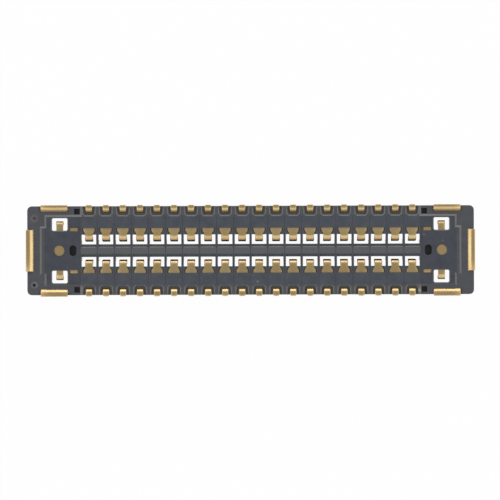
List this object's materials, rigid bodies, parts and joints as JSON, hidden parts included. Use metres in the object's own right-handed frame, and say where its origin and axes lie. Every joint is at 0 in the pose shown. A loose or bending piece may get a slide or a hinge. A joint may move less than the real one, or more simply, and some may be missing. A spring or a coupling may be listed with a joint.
{
  "type": "fpc connector",
  "caption": "Low-profile board-to-board receptacle with two rows of sprung gold contacts, a windowed solder side, a centre island and solder tabs at each end.",
  "frame": {"origin": "centre of the part on the plane of its mating face", "axes": "+X along the contact rows, +Y across them, +Z out of the solder side"},
  "size_m": [0.0092, 0.0018, 0.0006],
  "materials": {
    "housing": "matte",
    "contact": "satin",
    "end_nail": "satin"
  },
  "bodies": {
    "root": {"housing": "housing", "contact_a_01": "contact", "contact_a_02": "contact", "contact_a_03": "contact", "contact_a_04": "contact", "contact_a_05": "contact", "contact_a_06": "contact", "contact_a_07": "contact", "contact_a_08": "contact", "contact_a_09": "contact", "contact_a_10": "contact", "contact_a_11": "contact", "contact_a_12": "contact", "contact_a_13": "contact", "contact_a_14": "contact", "contact_a_15": "contact", "contact_a_16": "contact", "contact_a_17": "contact", "contact_a_18": "contact", "contact_a_19": "contact", "contact_a_20": "contact", "contact_b_01": "contact", "contact_b_02": "contact", "contact_b_03": "contact", "contact_b_04": "contact", "contact_b_05": "contact", "contact_b_06": "contact", "contact_b_07": "contact", "contact_b_08": "contact", "contact_b_09": "contact", "contact_b_10": "contact", "contact_b_11": "contact", "contact_b_12": "contact", "contact_b_13": "contact", "contact_b_14": "contact", "contact_b_15": "contact", "contact_b_16": "contact", "contact_b_17": "contact", "contact_b_18": "contact", "contact_b_19": "contact", "contact_b_20": "contact", "end_nail_left": "end_nail", "end_nail_right": "end_nail"}
  },
  "joints": []
}
